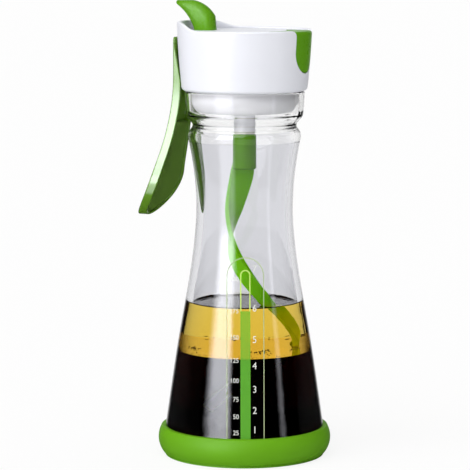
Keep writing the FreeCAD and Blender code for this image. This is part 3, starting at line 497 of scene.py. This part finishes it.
def wall_radius(z, inside):
    start, way = (0.0, 1.0) if inside else (FAR, -1.0)
    found, point, _, _ = NODES["glass_bottle"].ray_cast(Vector((start, 0.0, z)), Vector((way, 0.0, 0.0)))
    if not found:
        raise RuntimeError("the bottle has no wall at this height")
    return point.x


def floor_height():
    found, point, _, _ = NODES["glass_bottle"].ray_cast(Vector((NEAR_AXIS, 0.0, FAR)), Vector((0, 0, -1)))
    if not found:
        raise RuntimeError("the bottle has no floor")
    return point.z


def fill_heights(step, count):
    """Heights at which the bottle holds a step, two steps and so on, in millilitres"""
    slice_high = 0.1 * MM
    z = floor_height()
    held = 0.0
    heights = []
    while len(heights) < count:
        z += slice_high
        held += math.pi * wall_radius(z, True) ** 2 * slice_high / MILLILITRE
        if held >= step * (len(heights) + 1):
            heights.append(z)
    return heights


# Contents

SINK = 0.12 * MM
OVERLAP = 0.06 * MM
TOP_SLACK = 0.01 * MM
BRIM_REACH = 3.2 * MM
BRIM_STEPS = 10


def lining(low, high, steps):
    """Points up the inside of the bottle, sunk a little into the glass"""
    heights = [low + (high - low) * i / steps for i in range(steps + 1)]
    return [(wall_radius(z, True) + SINK, z) for z in heights]


def brim(level, climb):
    """The free surface from the wall inwards: it climbs the wall in a hollow curve"""
    edge = wall_radius(level + climb, True) + SINK
    points = [(edge, level + climb)]
    for i in range(1, BRIM_STEPS + 1):
        t = i / BRIM_STEPS
        points.append((edge - SINK - BRIM_REACH * t, level + climb * (1.0 - t) ** 3))
    return points + [(edge * 0.5, level), (0.0, level)]


def vinegar_mesh():
    top = sizes().vinegar_top
    floor = floor_height()
    outline = [(radius * MM, floor - SINK) for radius in (0.0, 12.0, 24.0)]
    outline += lining(floor + 0.1 * MM, top, 60)
    outline += [(wall_radius(top, True) * 0.5, top), (0.0, top)]
    return turned_mesh("vinegar", outline)


def oil_mesh():
    s = sizes()
    low = s.vinegar_top - OVERLAP
    outline = [(0.0, low), (12.0 * MM, low)]
    outline += lining(low, s.oil_top + s.meniscus * 0.98, 40)
    outline += brim(s.oil_top, s.meniscus)
    return turned_mesh("oil", outline)


def drop(work, dice, size, turn, height):
    """One flattened bead close to the wall"""
    radius = wall_radius(height, True) - size - dice.uniform(0.05, 0.3) * MM
    place = Vector((radius * math.cos(turn), radius * math.sin(turn), height))
    made = bmesh.ops.create_icosphere(work, subdivisions=2, radius=size)
    flat = dice.uniform(0.5, 0.9)
    for vertex in made["verts"]:
        vertex.co.z *= flat
        vertex.co += place


SWARMS = ((-54.0, 4.0, 36), (13.0, 7.0, 46), (51.0, 3.0, 18))


def drops_mesh():
    """Beads of vinegar that hang in the oil: some swarms at the front and a fine row low on the wall"""
    s = sizes()
    dice = random.Random(7)
    work = bmesh.new()
    for middle, reach, count in SWARMS:
        for _ in range(count):
            turn = s.print_turn + math.radians(middle + dice.gauss(0.0, reach))
            height = s.vinegar_top + dice.gauss(2.9, 0.6) * MM
            drop(work, dice, dice.uniform(0.14, 0.42) * MM, turn, height)
    for _ in range(s.drops):
        size = dice.uniform(0.08, 0.3) * MM
        height = s.vinegar_top + size + abs(dice.gauss(0.0, 0.5)) * MM
        drop(work, dice, size, dice.uniform(-math.pi, math.pi), height)
    for face in work.faces:
        face.smooth = True
    return finished_mesh("vinegar_drops", work)


class SHAKER_OT_contents(bpy.types.Operator):
    """Fills the bottle with vinegar, oil and the drops between them"""

    bl_idname = "shaker.contents"
    bl_label = "Contents"

    def execute(self, context):
        f = finish()
        dark = liquid("vinegar_liquid", f.vinegar, f.vinegar_density, VINEGAR_IOR)
        gold = liquid("oil_liquid", f.oil, f.oil_density, OIL_IOR)
        line = layer_line("layer_line", f.vinegar_deep, f.layer_shine, VINEGAR_IOR / OIL_IOR)
        vinegar = new_piece("vinegar", vinegar_mesh(), dark)
        vinegar.data.materials.append(line)
        for face in vinegar.data.polygons:
            if face.center.z > sizes().vinegar_top - TOP_SLACK:
                face.material_index = 1
        new_piece("oil", oil_mesh(), gold)
        new_piece("vinegar_drops", drops_mesh(), bead_liquid("drop_liquid", f.vinegar_drop))
        return {"FINISHED"}


# Printed scale

PRINT_LIFT = 0.05 * MM
PRINT_THICK = 0.06 * MM
OUTLINE_HALF = 0.2 * MM
TUBE_HALF = 0.28 * MM
BAR_OVER = 0.2 * MM
BAR_STEPS = 60
NUMBER_GAP = 0.9 * MM
OUNCE_REACH = 3.2 * MM
SMALL_SHARE = 0.68
FIGURE_SHARE = 0.73
FIGURE_NARROW = 0.92


def on_wall(across, z, lift):
    """A point on the bottle's outside: a distance round from the scale's middle, a height and a lift"""
    radius = wall_radius(z, False)
    turn = sizes().print_turn + across / radius
    out = radius + lift
    return Vector((out * math.cos(turn), out * math.sin(turn), z))


def printed_line(name, path, half):
    """A printed line along (across, height) points"""
    work = bmesh.new()
    rows = []
    for i, (across, z) in enumerate(path):
        before = Vector(path[max(i - 1, 0)])
        after = Vector(path[min(i + 1, len(path) - 1)])
        run = (after - before).normalized()
        side = Vector((-run.y, run.x)) * half
        edges = []
        for sign in (-1.0, 1.0):
            for lift in (PRINT_LIFT, PRINT_LIFT + PRINT_THICK):
                point = on_wall(across + sign * side.x, z + sign * side.y, lift)
                edges.append(work.verts.new(point))
        rows.append(edges)
    for a, b in zip(rows, rows[1:]):
        for i, j in ((0, 1), (1, 3), (3, 2), (2, 0)):
            work.faces.new((a[i], a[j], b[j], b[i]))
    for end in (rows[0], rows[-1]):
        work.faces.new((end[0], end[1], end[3], end[2]))
    bmesh.ops.recalc_face_normals(work, faces=work.faces)
    return finished_mesh(name, work)


def arch(half, low, top, steps=14, rise=40):
    """Up one side, over a round top and down the other"""
    spring = top - half
    path = []
    for i in range(rise):
        path.append((-half, low + (spring - low) * i / rise))
    for i in range(steps + 1):
        a = math.pi - math.pi * i / steps
        path.append((half * math.cos(a), spring + half * math.sin(a)))
    for i in range(1, rise + 1):
        path.append((half, spring + (low - spring) * i / rise))
    return path


def number_faces(work, figures, right, z, high):
    """A plain number wrapped on the wall; right is the edge that it ends at"""
    letters = bpy.data.curves.new("number", "FONT")
    letters.body = figures
    letters.size = high / FIGURE_SHARE
    letters.align_x = "RIGHT"
    letters.align_y = "CENTER"
    letters.resolution_u = 3
    letters.extrude = PRINT_THICK / 2
    holder = bpy.data.objects.new("number", letters)
    flat = bpy.data.meshes.new_from_object(holder)
    start = len(work.verts)
    work.from_mesh(flat)
    work.verts.ensure_lookup_table()
    for vertex in work.verts[start:]:
        across, up, lift = vertex.co
        vertex.co = on_wall(right + across * FIGURE_NARROW, z + up, PRINT_LIFT + PRINT_THICK / 2 + lift)
    bpy.data.objects.remove(holder)
    bpy.data.curves.remove(letters)
    bpy.data.meshes.remove(flat)


def numbers_mesh(name):
    """Millilitres left of the bar and ounces right of it, each at the height that holds as much"""
    s = sizes()
    work = bmesh.new()
    for i, z in enumerate(fill_heights(s.mark_step, 8)):
        figures = str(round(s.mark_step * (i + 1)))
        number_faces(work, figures, -s.bar_half - NUMBER_GAP, z, s.number_high * SMALL_SHARE)
    for i, z in enumerate(fill_heights(s.ounce_step, 7)):
        number_faces(work, str(i + 1), s.bar_half + OUNCE_REACH, z, s.number_high)
    bmesh.ops.recalc_face_normals(work, faces=work.faces)
    return finished_mesh(name, work)


class SHAKER_OT_scale_print(bpy.types.Operator):
    """Prints the volume scale on the glass: outline, bar and plain numbers"""

    bl_idname = "shaker.scale_print"
    bl_label = "Printed scale"

    def execute(self, context):
        s = sizes()
        f = finish()
        low = BOOT_TOP - 1.0 * MM
        white = ink("print_white", f.print_white, f.through_white, clear_share=0.2)
        pale = ink("print_pale", f.print_pale, f.through_pale, clear_share=0.5)
        edge = ink("print_edge", f.print_edge, f.through_edge, clear_share=0.25)
        green = ink("print_green", f.print_green, f.through_green, clear_share=0.48)
        outline = printed_line("scale_outline", arch(s.scale_half, low, s.scale_top), OUTLINE_HALF)
        tube = printed_line("scale_tube", arch(s.bar_half, s.oil_top, s.bar_top), TUBE_HALF)
        column = [(0.0, low + (s.oil_top - low) * i / BAR_STEPS) for i in range(BAR_STEPS + 1)]
        bar = printed_line("scale_bar", column, s.bar_half + BAR_OVER)
        new_piece("scale_outline", outline, pale)
        new_piece("scale_numbers", numbers_mesh("scale_numbers"), white)
        new_piece("scale_tube", tube, edge)
        new_piece("scale_bar", bar, green)
        return {"FINISHED"}


# Finishes of the solid pieces

SMOOTH_SKIN = {"mottle": 0.05, "pebble": 800.0, "depth": 0.03 * MM, "strength": 0.2}


class SHAKER_OT_bottle(bpy.types.Operator):
    """Clear glass for the bottle and soft silicone for its boot"""

    bl_idname = "shaker.bottle"
    bl_label = "Bottle and boot"

    def execute(self, context):
        s = sizes()
        f = finish()
        brink = s.oil_top + s.meniscus
        dress(["glass_bottle"], blown_glass("bottle_glass", f.glass, f.wet_glass, s.oil_top, brink, s.neck_low))
        skin = {"pebble": 1300.0, "depth": 0.05 * MM, "strength": 0.35}
        dress(["base_boot"], moulded("boot_silicone", f.lime_soft, 0.5, gloss=0.15, mottle=0.04, **skin))
        return {"FINISHED"}


class SHAKER_OT_lid(bpy.types.Operator):
    """White collar, top plate and plug, the white parts under the lid, and the seals"""

    bl_idname = "shaker.lid"
    bl_label = "Lid"

    def execute(self, context):
        f = finish()
        skin = {"pebble": 700.0, "depth": 0.03 * MM, "strength": 0.15}
        shell = moulded("collar_white", f.white, 0.32, gloss=0.3, mottle=0.012, **skin)
        dress(["lid_collar", "top_plate"], shell)
        satin = moulded("plug_white", f.satin_white, 0.38, gloss=0.45, mottle=0.015, pebble=900.0)
        dress(["lid_plug", "gear_deck", "gear_housing", "pour_chute"], satin)
        rubber = moulded("seal_silicone", f.seal, 0.5, gloss=0.4, mottle=0.03, pebble=1500.0)
        dress(["neck_gasket", "spindle_seal", "spout_seal"], rubber)
        return {"FINISHED"}


class SHAKER_OT_works(bpy.types.Operator):
    """Gears, bushes and steel of the drive"""

    bl_idname = "shaker.works"
    bl_label = "Drive"

    def execute(self, context):
        f = finish()
        acetal = moulded("gear_acetal", f.acetal, 0.36, gloss=0.5, mottle=0.02, pebble=1600.0)
        dress(["idler_gear", "spindle_pinion", "drive_rack", "upper_bush", "lower_bush"], acetal)
        steel = ["housing_screws", "collar_screws", "idler_post", "return_spring", "flip_pin"]
        steel += ["drive_pin", "trigger_pin", "spindle_shaft", "spindle_clip", "hub_pin"]
        dress(steel, brushed("pin_steel", f.steel))
        return {"FINISHED"}


class SHAKER_OT_green(bpy.types.Operator):
    """Lime green of tab, flap, handle, hub and mixing ribbon"""

    bl_idname = "shaker.green"
    bl_label = "Green pieces"

    def execute(self, context):
        f = finish()
        tab = moulded("tab_green", f.lime, 0.28, gloss=0.2, ease=4.5 * MM, **SMOOTH_SKIN)
        dress(["thumb_tab"], tab)
        flap = moulded("flap_green", f.lime, 0.3, gloss=0.09, ease=1.0 * MM, **SMOOTH_SKIN)
        dress(["spout_flap"], flap)
        handle = moulded("handle_green", f.lime_handle, 0.2, gloss=0.92, ease=0.9 * MM, **SMOOTH_SKIN)
        dress(["trigger_handle"], handle)
        dress(["handle_inlay"], moulded("inlay_green", f.lime_deep, 0.34, gloss=0.1, mottle=0.06, pebble=1100.0))
        blade = moulded("blade_green", f.lime_blade, 0.2, gloss=0.12, mottle=0.05, pebble=700.0)
        glow_through(blade, f.lime_through, share=0.22, tip_share=0.95)
        dress(["mixing_blade"], blade)
        dress(["blade_hub"], moulded("hub_green", f.lime_hub, 0.2, gloss=0.14, mottle=0.05, pebble=700.0))
        return {"FINISHED"}


# Studio

ROOM = 0.015
FLOOR_RADIUS = 12.0
FLOOR_GAP = 0.02 * MM
LAMP_AIM = 100.0 * MM
LAMP_SPREAD = math.radians(70.0)
SHEET_FAR = 2.5
SHEET_HALF = 1.5
SHEET_TINT = (0.92, 0.93, 1.0)


def along_view(tree, place):
    """How far a place or a direction lies from the bottle towards the backdrop"""
    turn = sizes().camera_turn
    dot = tree.nodes.new("ShaderNodeVectorMath")
    dot.operation = "DOT_PRODUCT"
    dot.inputs[1].default_value = (-math.sin(turn), math.cos(turn), 0.0)
    tree.links.new(place, dot.inputs[0])
    return dot.outputs["Value"]


def studio_world():
    """White to the eye; clear and shiny surfaces see a white backdrop and a dark room before it"""
    world = bpy.data.worlds.new("studio")
    bpy.context.scene.world = world
    world.use_nodes = True
    tree = world.node_tree
    ray = tree.nodes.new("ShaderNodeTexCoord").outputs["Generated"]
    towards = along_view(tree, ray)
    overhead = ramp(tree, axis_of(tree, ray, "Z"), 0.22, 0.5, 1.0, 0.08)
    behind = times(tree, ramp(tree, towards, 0.4, 0.92, ROOM, 1.0), overhead)
    mirrored = ramp(tree, towards, 0.86, 1.0, ROOM, 0.9)
    level = mixed(tree, seen_by(tree, "Is Glossy Ray"), sizes().fill_light, mirrored)
    level = mixed(tree, seen_by(tree, "Is Transmission Ray"), level, behind)
    level = mixed(tree, seen_by(tree, "Is Camera Ray"), level, 1.0)
    background = tree.nodes["Background"]
    background.inputs["Color"].default_value = opaque(CLEAR)
    tree.links.new(level, background.inputs["Strength"])


def floor_material():
    """White floor: bright to the eye and through glass, and a little darker in the object's shadow"""
    material, tree, bsdf = new_material("studio_floor")
    set_sockets(bsdf, {"Base Color": (0.9, 0.9, 0.9, 1.0), "Roughness": 0.9, "Specular IOR Level": 0.0})
    glow = tree.nodes.new("ShaderNodeEmission")
    glow.inputs["Color"].default_value = opaque(CLEAR)
    through = ramp(tree, along_view(tree, place_of(tree)), 0.04, 0.2, 0.08, 0.985)
    share = mixed(tree, seen_by(tree, "Is Transmission Ray"), 0.0, through)
    share = mixed(tree, seen_by(tree, "Is Camera Ray"), share, 0.86)
    show(tree, blend_shaders(tree, share, bsdf.outputs["BSDF"], glow.outputs["Emission"]))
    return material


def studio_floor():
    work = bmesh.new()
    bmesh.ops.create_circle(work, cap_ends=True, segments=96, radius=FLOOR_RADIUS)
    floor = linked("floor", finished_mesh("floor", work))
    floor.location.z = CAD_LOW - FLOOR_GAP
    floor.data.materials.append(floor_material())
    floor.visible_glossy = False


def studio_place(turn, far, high):
    """A place at a direction from the camera's side and a distance from the bottle"""
    way = sizes().camera_turn + turn
    return Vector((far * math.sin(way), -far * math.cos(way), high))


def sun(name, turn, far, high, power):
    """A soft lamp aimed at the bottle's middle"""
    light = bpy.data.lights.new(name, "SUN")
    light.energy = power
    light.angle = LAMP_SPREAD
    holder = linked(name, light)
    holder.location = studio_place(math.radians(turn), far, high)
    aim = Vector((0.0, 0.0, LAMP_AIM)) - holder.location
    holder.rotation_euler = aim.to_track_quat("-Z", "Y").to_euler()


def softbox(name, turn, half, left_edge, right_edge, dim, power):
    """A glowing sheet with soft sides that is dimmer towards the floor; only shine shows it"""
    material, tree, bsdf = new_material(name)
    tree.nodes.remove(bsdf)
    place = place_of(tree)
    across = axis_of(tree, place, "X")
    left = ramp(tree, across, -half - left_edge, -half + left_edge, 0.0, 1.0)
    right = ramp(tree, across, half - right_edge, half + right_edge, 1.0, 0.0)
    rise = ramp(tree, axis_of(tree, place, "Y"), 0.0, 0.3, dim, 1.0)
    glow = tree.nodes.new("ShaderNodeEmission")
    glow.inputs["Color"].default_value = opaque(SHEET_TINT)
    tree.links.new(times(tree, left, right, rise, power), glow.inputs["Strength"])
    show(tree, glow.outputs["Emission"])
    work = bmesh.new()
    bmesh.ops.create_grid(work, x_segments=1, y_segments=1, size=SHEET_HALF)
    sheet = linked(name, finished_mesh(name, work))
    sheet.data.materials.append(material)
    sheet.location = studio_place(math.radians(turn), SHEET_FAR, 0.0)
    sheet.rotation_euler = (math.pi / 2, 0.0, sizes().camera_turn + math.radians(turn))
    sheet.visible_camera = False
    sheet.visible_diffuse = False
    sheet.visible_transmission = False
    sheet.visible_shadow = False


def photo_camera():
    s = sizes()
    data = bpy.data.cameras.new("photo_camera")
    data.lens = s.lens
    data.sensor_width = SENSOR_WIDTH
    data.clip_end = 30.0
    camera = linked("photo_camera", data)
    camera.location = studio_place(0.0, s.camera_far, s.camera_high)
    focal_pixels = s.lens / SENSOR_WIDTH * PHOTO_PIXELS
    yaw = math.atan((s.axis_pixel - PHOTO_PIXELS / 2) / focal_pixels)
    camera.rotation_euler = (math.pi / 2 - s.camera_pitch, 0.0, s.camera_turn + yaw)
    bpy.context.scene.camera = camera


class SHAKER_OT_stage(bpy.types.Operator):
    """Floor, soft studio light and the camera"""

    bl_idname = "shaker.stage"
    bl_label = "Stage"

    def execute(self, context):
        s = sizes()
        studio_floor()
        studio_world()
        softbox("left_softbox", -40.5, half=0.76, left_edge=0.45, right_edge=0.3, dim=0.31, power=12.5)
        softbox("right_strip", 58.0, half=0.16, left_edge=0.16, right_edge=0.16, dim=0.5, power=3.0)
        sun("front_light", -38.0, far=1.0, high=0.9, power=s.front_light)
        sun("top_light", -10.0, far=0.3, high=2.0, power=s.top_light)
        photo_camera()
        context.scene.view_settings.view_transform = "Standard"
        return {"FINISHED"}


OPERATORS = (
    SHAKER_OT_bottle,
    SHAKER_OT_lid,
    SHAKER_OT_works,
    SHAKER_OT_green,
    SHAKER_OT_contents,
    SHAKER_OT_scale_print,
    SHAKER_OT_stage,
)


class SHAKER_PT_panel(bpy.types.Panel):
    """Lists the pieces of the shaker bottle"""

    bl_idname = "SHAKER_PT_panel"
    bl_label = "Dressing shaker bottle"
    bl_space_type = "VIEW_3D"
    bl_region_type = "UI"
    bl_category = "Shaker"

    def draw(self, context):
        for operator in OPERATORS:
            self.layout.operator(operator.bl_idname)
        for group in (context.scene.shaker_sizes, context.scene.shaker_finish):
            for name in group.bl_rna.properties.keys():
                if name not in ("rna_type", "name"):
                    self.layout.prop(group, name)


CLASSES = (ShakerFinish, ShakerSizes) + OPERATORS + (SHAKER_PT_panel,)


def register():
    for one in CLASSES:
        bpy.utils.register_class(one)
    bpy.types.Scene.shaker_finish = PointerProperty(type=ShakerFinish)
    bpy.types.Scene.shaker_sizes = PointerProperty(type=ShakerSizes)


def unregister():
    del bpy.types.Scene.shaker_sizes
    del bpy.types.Scene.shaker_finish
    for one in reversed(CLASSES):
        bpy.utils.unregister_class(one)


def main():
    register()
    bpy.ops.shaker.bottle()
    bpy.ops.shaker.lid()
    bpy.ops.shaker.works()
    bpy.ops.shaker.green()
    bpy.ops.shaker.contents()
    bpy.ops.shaker.scale_print()
    bpy.ops.shaker.stage()


if __name__ == "__main__":
    main()
